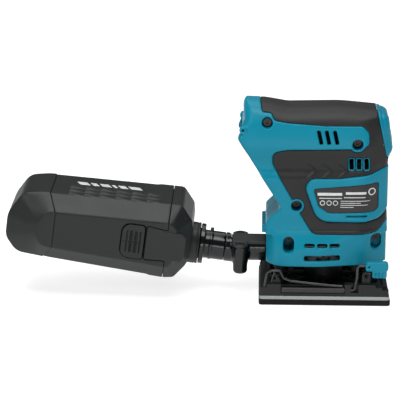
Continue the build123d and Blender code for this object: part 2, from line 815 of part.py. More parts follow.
def box_form(inset=0.0):
    """The dust box's solid form, level, with every wall moved in by inset.

    Its two sides are chamfered all the way round, and taper in towards the rounded end.
    """
    side = box_side_outline()
    if inset:
        side = offset(side, amount=-inset, kind=Kind.INTERSECTION)
    chamfer = BOX_CHAMFER - inset * (2 - math.sqrt(2))
    middle = BOX_HALF_WIDTH - inset - chamfer
    form = along_y(side, -middle, middle)
    right = Plane((0, -middle, 0), x_dir=(1, 0, 0), z_dir=(0, -1, 0))
    end = extrude(right * side, amount=chamfer, taper=45)
    form += end + mirrored(end)
    edge = BOX_HALF_WIDTH - inset * math.hypot(1, END_TAPER)
    slope = polygon([(END_START + 20, -edge - 20 * END_TAPER), (END_START - 60, 60 * END_TAPER - edge),
                     (END_START - 60, -70), (END_START + 20, -70)])
    taper = along_z(slope, -60, 60)
    return form - taper - mirrored(taper)


def cap_region(gap=0.0):
    """Everything behind the seam of the end cap, which steps back over the chamfers."""
    front = CAP_SEAM - gap
    middle = BOX_HALF_WIDTH - BOX_CHAMFER
    half = [(front, -60.0), (front, -BOX_HALF_WIDTH), (front - CAP_STEP, -middle)]
    other = [(x, -y) for x, y in reversed(half)]
    return along_z(polygon(half + other + [(-220.0, 60.0), (-220.0, -60.0)]), -60, 60)


def box_slice(low, high):
    return block((low, high), (-60, 60), (-60, 60))


def lid_arm():
    """The lid's tongue that lies over the side of the case."""
    plan = rounded([(-76.4, -7.5), (-42.0, -6.0), (-42.0, 18.0), (-76.4, 21.5)], [2.0, 5.0, 5.0, 2.0])
    return along_y(plan, -BOX_HALF_WIDTH - 0.6, -41.6)


def latch_plan(grow=0.0):
    """The latch button's outline on the side of the case."""
    points = [(-97.0 - grow, -7.5 - grow), (-77.6 + grow, -7.5 - grow), (-77.6 + grow, 21.5 + grow),
              (-97.0 - grow, 21.5 + grow)]
    return rounded(points, [7.0, 2.0, 2.0, 7.0])


def make_dust_box():
    outer = box_form()
    inner = box_form(BOX_WALL)
    shell = outer - inner
    arm = lid_arm()
    arms = arm + mirrored(arm)
    arm_seat = along_y(offset(rounded([(-76.4, -7.5), (-50.0, -6.4), (-50.0, 18.9), (-76.4, 21.5)],
                                      [2.0, 1.0, 1.0, 2.0]), amount=CLEARANCE), -50, -41.3)
    latch_seat = along_y(latch_plan(CLEARANCE), -50, -40.8)
    latch_floor = along_y(latch_plan(3.0), -40.8, -38.6)

    case = (shell & box_slice(-220, LID_SEAM - 0.15)) - cap_region()
    case += (along_y(latch_plan(3.0), -43.5, -38.6) + mirrored(along_y(latch_plan(3.0), -43.5, -38.6)))
    case += block((-79.0, LID_SEAM - 0.15), (-43.2, -39.6), (-9.5, 23.5))
    case += block((-79.0, LID_SEAM - 0.15), (39.6, 43.2), (-9.5, 23.5))
    for seat in (arm_seat, latch_seat):
        case -= seat + mirrored(seat)
    case += latch_floor + mirrored(latch_floor)

    lid = outer & box_slice(LID_SEAM + 0.15, 0)
    lid += arms
    lid += box_form(BOX_WALL + 0.4) & block((LID_SEAM - 4.0, LID_SEAM + 1.0), (-38.5, 38.5), (-60, 60))
    lid -= inner & box_slice(LID_SEAM + 3.0, 0)
    lid -= box_form(BOX_WALL + 2.0) & box_slice(LID_SEAM - 10.0, LID_SEAM + 3.1)
    lid -= rod_x(0, 0, 18.0, -60, 0)
    cap = shell & cap_region(0.05)
    latch = along_y(latch_plan(), -BOX_HALF_WIDTH - 1.4, -42.4)
    for step in range(3):
        ridge = -91.5 + 4.2 * step
        latch += block((ridge, ridge + 1.4), (-BOX_HALF_WIDTH - 2.0, -44), (-1.5, 15.5))
    return {
        "dust_box_case": tilted(case),
        "dust_box_end_cap": tilted(cap),
        "dust_box_lid": tilted(lid),
        "latch_button_right": tilted(latch),
        "latch_button_left": tilted(mirrored(latch)),
    }


def make_filter():
    """The filter's frame behind the lid, and its pleated element."""
    frame = block((-65.6, -63.2), (-37.2, 37.2), (-16.0, 30.5))
    frame -= rod_x(0, 0, 13.5, -70, -50)
    element = block((-140.0, -65.7), (-32.0, 32.0), (16.0, 28.5))
    for step in range(8):
        x = -136.0 + 9.0 * step
        element -= block((x, x + 3.5), (-40, 40), (13, 20.5))
    return {"filter_frame": tilted(frame), "filter_element": tilted(element)}


# ---- assembly --------------------------------------------------------------
def make_parts():
    parts = {}
    parts.update(make_housing())
    parts.update(make_grips())
    parts.update(make_labels())
    parts["housing_screws"] = make_housing_screws()
    parts["switch_panel"] = make_switch_panel()
    parts["switch_module"] = make_switch_module()
    for name, share in BUTTON_SHARES.items():
        parts[name] = button(share)
    parts.update(make_motor())
    parts["bearing_bracket"] = make_bearing_bracket()
    parts.update(make_drive())
    parts.update(make_controller())
    parts.update(make_terminals())
    parts.update(make_base())
    parts["rubber_columns"] = make_columns()
    clamp = {
        "clamp_jaw": make_clamp_jaw(),
        "clamp_wire": make_clamp_wire(),
        "clamp_knob": make_clamp_knob(),
        "clamp_spring": make_clamp_spring(),
    }
    for name, shape in clamp.items():
        parts[name + "_right"] = shape
        parts[name + "_left"] = mirrored(shape)
    parts.update(make_nozzle())
    parts["swivel_tube"] = make_swivel_tube()
    parts["box_collar"] = make_box_collar()
    parts.update(make_dust_box())
    parts.update(make_filter())
    return parts


def main():
    os.makedirs("parts", exist_ok=True)
    for name, shape in make_parts().items():
        export_step(shape, f"parts/{name}.step")


main()
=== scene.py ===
import json
import math

import bpy
import numpy as np
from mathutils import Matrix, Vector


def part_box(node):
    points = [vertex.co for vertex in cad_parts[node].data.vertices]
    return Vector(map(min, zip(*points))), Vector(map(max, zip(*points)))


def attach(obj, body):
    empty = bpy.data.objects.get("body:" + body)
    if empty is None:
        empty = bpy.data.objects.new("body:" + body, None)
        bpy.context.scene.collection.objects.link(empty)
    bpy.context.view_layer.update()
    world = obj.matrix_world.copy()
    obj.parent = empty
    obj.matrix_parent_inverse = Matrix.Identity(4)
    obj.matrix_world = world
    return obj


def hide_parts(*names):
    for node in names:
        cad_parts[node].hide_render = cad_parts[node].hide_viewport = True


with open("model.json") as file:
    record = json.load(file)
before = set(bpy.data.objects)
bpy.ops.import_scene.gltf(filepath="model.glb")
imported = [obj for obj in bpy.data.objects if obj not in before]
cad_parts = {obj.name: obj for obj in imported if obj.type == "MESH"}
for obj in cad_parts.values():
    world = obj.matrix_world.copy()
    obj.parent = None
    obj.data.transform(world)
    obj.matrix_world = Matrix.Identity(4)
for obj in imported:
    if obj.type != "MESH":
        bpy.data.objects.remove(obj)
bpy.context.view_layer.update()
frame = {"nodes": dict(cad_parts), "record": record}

import openvdb
from mathutils import Matrix, Vector

# Lengths are in millimetres until a mesh is made, as in the design.
MM = 0.001
record = frame["record"]
nodes = frame["nodes"]
COARSENESS = 1.0


# ---- places read from the frame ---------------------------------------------
def box_mm(node):
    """A node's lowest and highest corners, in millimetres."""
    low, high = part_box(node)
    return [c / MM for c in low], [c / MM for c in high]


def joint(name):
    return next(j for j in record["behaviour"]["joints"] if j["name"] == name)


SWIVEL = [c / MM for c in joint("nozzle_swivel")["pos_m"]]
BOX_TILT = math.atan2(joint("nozzle_swivel")["axis"][2], -joint("nozzle_swivel")["axis"][0])
CLAMP_AXIS = [c / MM for c in joint("clamp_right_hinge")["pos_m"]]
PAD_LOW, PAD_HIGH = box_mm("foam_pad")
SKIRT_BOTTOM = box_mm("housing_right")[0][2]
PORT_HEIGHT = 36.8
SCREWS = [(-50.2, 153.7), (26.5, 136.4), (-24.5, 83.1), (-30.9, 52.0), (43.7, 53.0)]
DIAGONAL = [(-75.3, 139.5), (-37.5, 81.0)]
PANEL_LOW, PANEL_HIGH = (57.3, 130.0), (52.6, 158.0)
PANEL_LINE = [(51.4, 123.3), (43.1, 162.2)]
SHELL = 3.0
RUBBER = 1.5
SKIRT_TOP = 61.0
SCREW_SEAT = -15.0


# ---- materials ----------------------------------------------------------------
def link(tree, source, target):
    tree.links.new(source, target)


def node_of(tree, kind, **settings):
    made = tree.nodes.new(kind)
    for name, value in settings.items():
        made.inputs[name.replace("_", " ")].default_value = value
    return made


def material(name, colour, roughness, grain=0.6, bump=0.15, variation=0.12, metallic=0.0, coat=0.0,
             stretch=(1.0, 1.0, 1.0), edge=0.35, corner_lightening=0.0, spread=0.08, specular=0.5):
    """A moulded or metal surface.

    grain is the size of the fine texture in millimetres, bump its strength, stretch its
    direction, edge the rounding of sharp corners in millimetres, and corner_lightening how
    much lighter convex corners are.
    """
    made = bpy.data.materials.new(name)
    made.use_nodes = True
    tree = made.node_tree
    shader = tree.nodes["Principled BSDF"]
    shader.inputs["Metallic"].default_value = metallic
    shader.inputs["Coat Weight"].default_value = coat
    shader.inputs["Coat Roughness"].default_value = 0.08
    shader.inputs["Specular IOR Level"].default_value = specular

    place = tree.nodes.new("ShaderNodeTexCoord")
    scaled = node_of(tree, "ShaderNodeMapping", Scale=stretch)
    link(tree, place.outputs["Object"], scaled.inputs["Vector"])

    fine = node_of(tree, "ShaderNodeTexNoise", Scale=1.0 / (grain * MM), Detail=2.0, Roughness=0.6)
    broad = node_of(tree, "ShaderNodeTexNoise", Scale=45.0, Detail=4.0, Roughness=0.55)
    for noise in (fine, broad):
        link(tree, scaled.outputs["Vector"], noise.inputs["Vector"])

    tones = tree.nodes.new("ShaderNodeValToRGB")
    dark = [c * (1 - variation) for c in colour]
    light = [min(1.0, c * (1 + variation)) for c in colour]
    tones.color_ramp.elements[0].position = 0.3
    tones.color_ramp.elements[0].color = (*dark, 1)
    tones.color_ramp.elements[1].position = 0.7
    tones.color_ramp.elements[1].color = (*light, 1)
    link(tree, broad.outputs["Fac"], tones.inputs["Fac"])
    base = tones.outputs["Color"]
    # Convex corners are made lighter, by how pointed the surface is.
    if corner_lightening:
        base = lighten_corners(tree, base, colour, corner_lightening)
    link(tree, base, shader.inputs["Base Color"])

    rough = node_of(tree, "ShaderNodeMapRange")
    rough.inputs["To Min"].default_value = max(0.02, roughness - spread)
    rough.inputs["To Max"].default_value = min(1.0, roughness + spread)
    link(tree, broad.outputs["Fac"], rough.inputs["Value"])
    link(tree, rough.outputs["Result"], shader.inputs["Roughness"])

    soft = node_of(tree, "ShaderNodeBevel", Radius=edge * MM)
    soft.samples = 4
    relief = node_of(tree, "ShaderNodeBump", Strength=bump, Distance=0.12 * MM)
    link(tree, fine.outputs["Fac"], relief.inputs["Height"])
    link(tree, soft.outputs["Normal"], relief.inputs["Normal"])
    link(tree, relief.outputs["Normal"], shader.inputs["Normal"])
    return made


def lighten_corners(tree, base, colour, corner_lightening):
    """Lightens convex corners a little, by how pointed the surface is."""
    geometry = tree.nodes.new("ShaderNodeNewGeometry")
    corner = node_of(tree, "ShaderNodeMapRange")
    corner.inputs["From Min"].default_value = 0.52
    corner.inputs["From Max"].default_value = 0.60
    corner.inputs["To Max"].default_value = corner_lightening
    link(tree, geometry.outputs["Pointiness"], corner.inputs["Value"])
    mix = tree.nodes.new("ShaderNodeMix")
    mix.data_type = "RGBA"
    mix.inputs[7].default_value = (*[min(1.0, c * 1.5 + 0.012) for c in colour], 1)
    link(tree, corner.outputs["Result"], mix.inputs["Factor"])
    link(tree, base, mix.inputs[6])
    return mix.outputs[2]


MATERIALS = {
    "teal_plastic": material("teal_plastic", (0.002, 0.205, 0.300), 0.36,
                grain=0.5, bump=0.10, variation=0.04, corner_lightening=0.15, specular=0.18),
    "black_rubber": material("black_rubber", (0.0125, 0.0128, 0.0130), 0.50,
                grain=0.7, bump=0.35, variation=0.2, specular=0.30),
    "dark_plastic": material("dark_plastic", (0.0090, 0.0105, 0.0108), 0.45,
                grain=0.6, bump=0.25, variation=0.12, corner_lightening=0.4, specular=0.34),
    "base_plastic": material("base_plastic", (0.0060, 0.0066, 0.0070), 0.42,
                grain=0.6, bump=0.25, specular=0.30),
    "gloss_black_plastic": material("gloss_black_plastic", (0.0030, 0.0038, 0.0046), 0.15,
                bump=0.03, spread=0.04, coat=0.0, specular=0.42),
    "grey_plastic": material("grey_plastic", (0.026, 0.026, 0.026), 0.5,
                grain=0.5, bump=0.25, specular=0.35),
    "plate_metal": material("plate_metal", (0.27, 0.29, 0.28), 0.36,
                grain=0.4, bump=0.08, metallic=0.85, stretch=(0.05, 1, 1)),
    "steel": material("steel", (0.55, 0.55, 0.53), 0.28, grain=0.4, bump=0.06, metallic=1.0),
    "black_steel": material("black_steel", (0.035, 0.035, 0.036), 0.38,
                grain=0.4, bump=0.1, metallic=0.7),
    "spring_steel": material("spring_steel", (0.055, 0.055, 0.053), 0.30,
                grain=0.5, bump=0.15, metallic=1.0, stretch=(0.3, 1, 1)),
    "foam": material("foam", (0.010, 0.0095, 0.0090), 0.9,
                grain=0.9, bump=0.9, variation=0.3, specular=0.2),
    "label_film": material("label_film", (0.0135, 0.0125, 0.0125), 0.38,
                grain=0.9, bump=0.04, specular=0.4),
    "brass_contact": material("brass_contact", (0.80, 0.56, 0.25), 0.3, metallic=1.0, bump=0.05),
    "copper_winding": material("copper_winding", (0.72, 0.34, 0.18), 0.38,
                metallic=0.9, bump=0.4, grain=0.5, stretch=(1, 1, 0.1)),
    "cast_metal": material("cast_metal", (0.16, 0.16, 0.17), 0.6, metallic=0.7, grain=0.9, bump=0.4),
    "board_green": material("board_green", (0.02, 0.16, 0.07), 0.4),
    "filter_paper": material("filter_paper", (0.78, 0.76, 0.68), 0.95, grain=0.35, bump=0.5),
    "white_print": material("white_print", (0.60, 0.61, 0.60), 0.5, bump=0.03),
}


def paint_nodes():
    """Gives each node of the design the finish of its material slot."""
    for entry in record["subparts"]:
        mesh = nodes[entry["node"]].data
        mesh.materials.clear()
        mesh.materials.append(MATERIALS.get(entry["material_slot"], MATERIALS["steel"]))


# ---- outlines -------------------------------------------------------------------
def rounded(points, radii, steps=7):
    """A closed outline whose corners are arcs of the given radii."""
    corners = [np.array(p, float) for p in points]
    made = []
    for i, (corner, radius) in enumerate(zip(corners, radii)):
        before = corners[i - 1] - corner
        after = corners[(i + 1) % len(corners)] - corner
        before /= np.linalg.norm(before)
        after /= np.linalg.norm(after)
        half = math.acos(np.clip(before @ after, -1, 1)) / 2
        if radius < 0.05 or half > math.pi / 2 - 0.01:
            made.append(tuple(corner))
            continue
        middle = (before + after) / np.linalg.norm(before + after)
        centre = corner + middle * radius / math.sin(half)
        start = corner + before * radius / math.tan(half)
        end = corner + after * radius / math.tan(half)
        a0 = math.atan2(*(start - centre)[::-1])
        turn = (math.atan2(*(end - centre)[::-1]) - a0 + math.pi) % (2 * math.pi) - math.pi
        for step in range(steps + 1):
            angle = a0 + turn * step / steps
            made.append((centre[0] + radius * math.cos(angle), centre[1] + radius * math.sin(angle)))
    return made


def both_sides(half, radii):
    """A closed outline made of the given half and its mirror image in the second coordinate."""
    other = [(x, -y) for x, y in reversed(half)]
    return rounded(half + other, radii + list(reversed(radii)))


SIDE_OUTLINE = rounded(
    [(53.5, 20.0), (53.5, 122.5), PANEL_LOW, PANEL_HIGH, (43.5, 163.4), (12.0, 167.6), (-33.0, 166.0),
     (-52.0, 171.8), (-71.8, 173.4), (-70.0, 155.0), DIAGONAL[0], DIAGONAL[1], (-50.5, 68.5), (-50.5, 20.0)],
    [0.5, 4.0, 5.0, 6.0, 6.0, 80.0, 20.0, 16.0, 3.0, 6.0, 3.0, 4.0, 4.0, 0.5])
FRONT_HALF = [(42.0, 20.0), (42.0, 45.5), (36.3, 58.5), (34.8, 66.0), (34.8, 107.0), (30.5, 114.0),
              (30.0, 123.0), (34.3, 133.0), (33.6, 141.0), (29.5, 154.0), (20.0, 167.0), (0.0, 176.0)]
FRONT_RADII = [0.5, 1.0, 6.0, 30.0, 6.0, 8.0, 8.0, 8.0, 20.0, 12.0, 24.0, 30.0]
FRONT_OUTLINE = rounded(FRONT_HALF + [(-y, z) for y, z in reversed(FRONT_HALF[:-1])],
                        FRONT_RADII + list(reversed(FRONT_RADII[:-1])))
SKIRT_PLAN = both_sides([(-50.5, 26.0), (-41.0, 41.0), (-10.0, 42.8), (34.0, 34.0), (53.5, 19.0)],
                        [7.0, 16.0, 60.0, 30.0, 5.0])
HANDLE_PLAN = both_sides(
    [(-78.0, 33.0), (-40.0, 36.0), (-10.0, 36.0), (32.0, 35.0), (52.0, 21.5), (58.0, 17.0)],
    [5.0, 60.0, 80.0, 30.0, 20.0, 4.0])
RUBBER_OUTLINE = rounded(
    [(-57.5, 190.0), (-57.0, 172.0), (-54.5, 162.2), (-46.8, 161.4), (-44.3, 155.8), (-33.0, 154.0),
     (-1.0, 151.9), (30.5, 151.9), (36.2, 146.0), (36.2, 136.5), (31.3, 132.8), (-33.0, 131.6),
     (-45.6, 129.0), (-45.4, 119.0), (-38.0, 105.4), (-17.9, 70.3), (-10.5, 58.5), (32.1, 58.6),
     (45.0, 59.6), (51.6, 68.0), (60.0, 78.0), (60.0, 190.0)],
    [1.0, 8.0, 2.5, 2.0, 4.0, 20.0, 40.0, 5.0, 5.0, 3.0, 2.0, 20.0, 6.0, 12.0, 60.0, 24.0, 9.0, 20.0,
     9.0, 8.0, 2.0, 1.0])
POD_OUTLINE = rounded(
    [(62.0, 119.5), (37.5, 110.0), (10.0, 107.0), (-17.5, 107.0), (-16.2, 96.0), (-6.5, 69.6), (12.8, 69.2),
     (33.0, 69.0), (47.0, 71.0), (62.0, 90.0)],
    [1.0, 20.0, 40.0, 8.0, 14.0, 14.0, 20.0, 20.0, 12.0, 1.0])
LABEL_OUTLINE = rounded([(-10.3, 98.4), (45.0, 103.2), (45.2, 78.0), (3.0, 77.0), (-6.0, 83.0)],
                        [2.0, 2.0, 5.0, 9.0, 6.0])


def slanted_slot(left, top, bottom, width, lean, radius):
    """A slot in the side wall, leaning forward by lean on its way down."""
    return rounded([(left, top), (left + width, top), (left + width + lean, bottom), (left + lean, bottom)],
                   [radius] * 4)


UPPER_VENTS = [slanted_slot(left, 148.1, 136.6, 3.1, 2.6, 0.8) for left in (-8.3, -1.7, 5.2)]
WAIST_VENTS = [slanted_slot(left, 124.0, 114.4, 3.6, 0.3, 0.8) for left in (19.6, 26.0, 32.3)]
SKIRT_VENTS = [slanted_slot(left, 51.2, 47.8, 8.6, 0.0, 1.2) for left in (-17.4, -6.5, 4.0)]
POD_SLOT = slanted_slot(17.5, 75.3, 73.7, 18.2, 0.0, 0.5)
LONG_WINDOW = slanted_slot(-17.7, 41.0, 36.3, 30.7, 0.0, 1.5)


# ---- solids from distance fields --------------------------------------------------
def outline_distance(outline, a, b):
    """The signed distance from each point (a, b) to a closed outline, negative inside."""
    across, up = a[:, None], b[None, :]
    nearest = np.full((len(a), len(b)), 1e9, np.float32)
    inside = np.zeros((len(a), len(b)), bool)
    for (x0, y0), (x1, y1) in zip(outline, outline[1:] + outline[:1]):
        dx, dy = x1 - x0, y1 - y0
        if abs(dx) + abs(dy) < 1e-6:
            continue
        along = np.clip(((across - x0) * dx + (up - y0) * dy) / (dx * dx + dy * dy), 0, 1)
        nearest = np.minimum(nearest, (across - x0 - along * dx) ** 2 + (up - y0 - along * dy) ** 2)
        if dy:
            inside ^= ((y0 > up) != (y1 > up)) & (across < dx * (up - y0) / dy + x0)
    return (np.where(inside, -1, 1) * np.sqrt(nearest)).astype(np.float32)


class Room:
    """A box of sample points, in which fields are drawn. step is one spacing, or one for each axis."""

    def __init__(self, low, high, step):
        self.low = np.array(low, float)
        self.steps = np.array(step if isinstance(step, tuple) else (step,) * 3, float) * COARSENESS
        self.x, self.y, self.z = [np.arange(a, b + d, d, dtype=np.float32)
                                  for a, b, d in zip(low, high, self.steps)]
        self.X = self.x[:, None, None]
        self.Y = self.y[None, :, None]
        self.Z = self.z[None, None, :]

    def side(self, outline):
        """Distance to an outline in X and Z, carried along Y."""
        return outline_distance(outline, self.x, self.z)[:, None, :]

    def front(self, outline):
        """Distance to an outline in Y and Z, carried along X."""
        return outline_distance(outline, self.y, self.z)[None, :, :]

    def plan(self, outline):
        """Distance to an outline in X and Y, carried along Z."""
        return outline_distance(outline, self.x, self.y)[:, :, None]

    def block(self, x, y, z):
        """A box given by its limits on each axis."""
        return np.maximum(np.maximum(between(self.X, *x), between(self.Y, *y)), between(self.Z, *z))

    def rod_x(self, y, z, radius):
        return np.hypot(self.Y - y, self.Z - z) - radius

    def rod_y(self, x, z, radius):
        return np.hypot(self.X - x, self.Z - z) - radius

    def rod_z(self, x, y, radius):
        return np.hypot(self.X - x, self.Y - y) - radius


def between(values, low, high):
    """Negative between low and high."""
    return np.maximum(low - values, values - high)


def meet(a, b, r=0.6):
    """Where a and b are both solid, with edges rounded by about r."""
    near = np.maximum(r - np.abs(a - b), 0)
    return np.maximum(a, b) + near * near / (4 * r)


def join(a, b, r=0.6):
    """Where a or b is solid, with corners filled by about r."""
    return -meet(-a, -b, r)


def cut(a, b, r=0.6):
    """a without b."""
    return meet(a, -b, r)


def groove(field, line, width, depth):
    """Presses a round groove into a field along the places where line is zero."""
    return field + depth * np.exp(-(line / width) ** 2)


def surface(name, room, field, finish, body, replaced, place=None, mirrored=False, adaptivity=0.004):
    """Makes a mesh piece where field is zero, riding on body in place of the named nodes."""
    field = np.ascontiguousarray(np.broadcast_to(field, (len(room.x), len(room.y), len(room.z))), np.float32)
    reach = 3 * float(room.steps.max())
    field = np.clip(field, -reach, reach)
    for axis in range(3):
        for end in (0, -1):
            wall = [slice(None)] * 3
            wall[axis] = end
            field[tuple(wall)] = reach
    grid = openvdb.FloatGrid(reach)
    grid.copyFromArray(field)
    points, triangles, quads = grid.convertToPolygons(0.0, adaptivity)
    points = (points * room.steps + room.low) * MM
    if mirrored:
        points[:, 1] *= -1
        triangles, quads = triangles[:, ::-1], quads[:, ::-1]
    mesh = bpy.data.meshes.new(name)
    mesh.vertices.add(len(points))
    mesh.vertices.foreach_set("co", points.astype(np.float32).ravel())
    corners = np.concatenate([triangles.ravel(), quads.ravel()]).astype(np.int32)
    starts = np.concatenate([np.arange(len(triangles)) * 3, len(triangles) * 3 + np.arange(len(quads)) * 4])
    mesh.loops.add(len(corners))
    mesh.loops.foreach_set("vertex_index", corners)
    mesh.polygons.add(len(starts))
    mesh.polygons.foreach_set("loop_start", starts.astype(np.int32))
    mesh.update(calc_edges=True)
    mesh.validate()
    if place is not None:
        mesh.transform(place)
    mesh.shade_smooth()
    mesh.materials.append(MATERIALS[finish])
    piece = bpy.data.objects.new(name, mesh)
    bpy.context.scene.collection.objects.link(piece)
    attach(piece, body)
    if replaced:
        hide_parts(*replaced)
    return piece


# ---- the sander's housing -----------------------------------------------------------
HOUSING_STEP = 0.6


def across_diagonal(room):
    """Distances in the battery face's own directions: down it, out of it."""
    (x0, z0), (x1, z1) = DIAGONAL
    length = math.hypot(x1 - x0, z1 - z0)
    down = ((x1 - x0) / length, (z1 - z0) / length)
    mid = ((x0 + x1) / 2, (z0 + z1) / 2)
    along = (room.X - mid[0]) * down[0] + (room.Z - mid[1]) * down[1]
    out = (room.X - mid[0]) * down[1] - (room.Z - mid[1]) * down[0]
    return along, out


def housing_form(room):
    """The housing's outside, without its bottom."""
    side = room.side(SIDE_OUTLINE)
    front = room.front(FRONT_OUTLINE)
    softness = 3.0 + 9.0 * np.clip((room.Z - 120) / 35, 0, 1)
    upper = meet(meet(side, room.plan(HANDLE_PLAN), 3.0), front, softness)
    upper = np.maximum(upper, SKIRT_TOP - 3 - room.Z)
    skirt = meet(meet(side, room.plan(SKIRT_PLAN), 2.0), front, 1.2)
    skirt = np.maximum(skirt, room.Z - SKIRT_TOP)
    return join(upper, skirt, 2.0)


def any_of(room, outlines):
    """The nearest of several side outlines."""
    return np.minimum.reduce([room.side(outline) for outline in outlines])


def screw_field(room, radius):
    """Discs around the screw places."""
    return np.minimum.reduce([room.rod_y(x, z, radius) for x, z in SCREWS])


def recess_field(room):
    """The screw recesses. Those in the sloping skirt run downwards."""
    fields = []
    for x, z in SCREWS:
        drop = 4.5 if z < SKIRT_TOP else 0.0
        fields.append(np.hypot(room.X - x, room.Z - np.clip(room.Z, z - drop, z)) - 4.6)
    return np.minimum.reduce(fields)


def make_housing(side):
    """One half of the housing with its grip, panel half and name plate.

    The right half has the screws' head recesses. The left half is drawn on the
    right side too, and mirrored as its mesh is made.
    """
    right = side == "right"
    room = Room((-78, -45, 28), (60, 1.5, 176), HOUSING_STEP)
    form = housing_form(room)
    half = room.Y + 0.06

    slot_along, slot_out = across_diagonal(room)
    mouth = np.maximum(np.maximum(np.abs(room.Y) - 21, -slot_out - 3.6), between(slot_along, -45, 33))
    channel = np.maximum(np.maximum(np.abs(room.Y) - 25, between(slot_out, -9.0, -3.5)),
                         between(slot_along, -45, 30))
    slot = np.minimum(mouth, channel)

    rubber_area = cut(room.side(RUBBER_OUTLINE), room.side(POD_OUTLINE), 0.3)
    if right:
        rubber_area = cut(rubber_area, screw_field(room, 6.4), 0.3)
    rubber_area = cut(rubber_area, any_of(room, WAIST_VENTS) - 1.0, 0.3)
    panel_area = room.side([PANEL_LINE[0], (72.0, PANEL_LINE[0][1]), (72.0, 175.0), (40.4, 175.0)])
    vents = np.minimum(any_of(room, UPPER_VENTS + WAIST_VENTS + SKIRT_VENTS), room.side(LONG_WINDOW))

    room_inside = form + SHELL
    slot_wall = np.maximum(-slot_out - 12, between(slot_along, -50.5, 39.5))
    room_inside = np.maximum(room_inside, -slot_wall)

    pod_rise = 0.8 * np.clip(-room.side(POD_OUTLINE) / 1.6, 0, 1) * np.clip((51.0 - room.X) / 5.0, 0, 1)
    shell = meet(form - pod_rise, -room_inside, 0.5)
    rear_tab = room.block((-54.2, -46), (-22, 22), (55.5, 63.5)) + 0.4
    shell = join(shell, meet(rear_tab, -room_inside, 0.5), 1.5)
    lug = np.maximum(room.rod_y(-70.6, 147.8, 3.2), between(room.Y, -31, -25.5))
    shell = join(shell, cut(lug, room.rod_y(-70.6, 147.8, 1.2), 0.4), 0.8)
    boss = np.maximum(recess_field(room) - 1.4, between(room.Y, -45, SCREW_SEAT + 2))
    shell = join(shell, np.maximum(boss, form + 0.5), 0.5)
    shell = cut(shell, slot, 0.5)
    shell = meet(shell, SKIRT_BOTTOM - room.Z, 0.8)
    shell = cut(shell, np.maximum(room.rod_x(0, PORT_HEIGHT, 12.1), room.X + 44), 0.5)

    if right:
        recess = np.maximum(recess_field(room), room.Y - SCREW_SEAT)
        shell = cut(shell, recess, 0.9)
    shell = cut(shell, np.maximum(room.side(POD_SLOT), -(form + 1.8)), 0.4)
    shell = cut(shell, np.maximum(vents, room.Y + 24), 0.7)
    shell = cut(shell, np.maximum(form - 1, np.maximum(-(form + RUBBER), rubber_area - 0.12)), 0.9)
    shell = cut(shell, panel_area - 0.12, 0.6)
    label_area = room.side(LABEL_OUTLINE)
    shell = cut(shell, np.maximum(label_area - 0.12, -(form + 0.8)), 0.4)
    shell = meet(shell, half, 0.5)
    surface("housing_%s_shell" % side, room, shell, "teal_plastic", "housing", ["housing_" + side],
            mirrored=not right)

    make_grip(side, room, form, rubber_area, panel_area, slot, vents, half)
    make_panel_half(side, room, form, panel_area)
    make_nameplate(side)


def make_grip(side, room, form, rubber_area, panel_area, slot, vents, half):
    """The overmoulded rubber, with raised chevrons at the waist."""
    chevrons = 0
    height = np.abs(room.Z - 112.8)
    for tip in (-9.0, 4.0, 17.0):
        arrow = np.maximum(np.abs(room.X - tip + 1.1 * height) - 1.1, height - 4.8)
        chevrons = chevrons + 0.55 * np.exp(-(np.maximum(arrow, 0) / 0.5) ** 2)
    dip = 0.5 * np.exp(-(np.maximum(room.side(POD_OUTLINE), 0) / 4.0) ** 2)
    form = form + dip
    grip = meet(form + 0.1 - np.minimum(chevrons, 0.5), -(form + RUBBER), 0.3)
    grip = meet(grip, rubber_area, 1.1)
    grip = cut(grip, panel_area, 0.8)
    grip = cut(grip, slot, 0.8)
    grip = cut(grip, np.maximum(vents - 0.2, room.Y + 20), 0.5)
    grip = meet(grip, half, 0.4)
    surface("grip_%s_skin" % side, room, grip, "black_rubber", "housing", ["grip_" + side],
            mirrored=side == "left")


def panel_axes():
    """The switch panel's upward and outward directions."""
    rise = Vector((PANEL_HIGH[0] - PANEL_LOW[0], 0, PANEL_HIGH[1] - PANEL_LOW[1]))
    up = rise.normalized()
    return rise, up, Vector((up.z, 0, -up.x))


BUTTONS = {"on_button": 0.72, "off_button": 0.31}


def button_distance(room, share):
    """The distance from the line that a button slides along."""
    rise, up, _ = panel_axes()
    x, z = PANEL_LOW[0] + rise.x * share, PANEL_LOW[1] + rise.z * share
    across = (room.X - x) * up.x + (room.Z - z) * up.z
    return np.hypot(across, room.Y)


def make_panel_half(side, room, form, panel_area):
    """Half of the switch panel. The two halves meet without a seam."""
    panel = meet(form, -(form + SHELL), 0.4)
    panel = meet(panel, panel_area + 0.12, 0.9)
    step = room.side([(PANEL_LINE[0][0] + 2.6, 125.5), (72.0, 125.5), (72.0, 172.0),
                      (PANEL_LINE[1][0] + 1.4, 172.0)])
    panel = groove(panel, step, 0.5, 0.45)
    for share in BUTTONS.values():
        panel = cut(panel, button_distance(room, share) - 4.9, 0.6)
    panel = np.maximum(panel, room.Y)
    replaced = ["switch_panel"] if side == "right" else []
    surface("switch_panel_%s" % side, room, panel, "teal_plastic", "housing", replaced,
            mirrored=side == "left")


# Plain bars on the rating plate: left, right, bottom and top.
LABEL_BARS = [
    (-7.0, 14.0, 92.6, 95.2),
    (17.0, 34.5, 93.6, 95.8),
    (-5.5, 14.0, 89.9, 90.7),
    (15.5, 34.0, 90.6, 91.4),
    (12.5, 38.0, 87.6, 88.2),
    (12.5, 30.0, 85.8, 86.4),
    (12.5, 36.0, 84.0, 84.6),
    (12.5, 24.0, 82.2, 82.8),
]


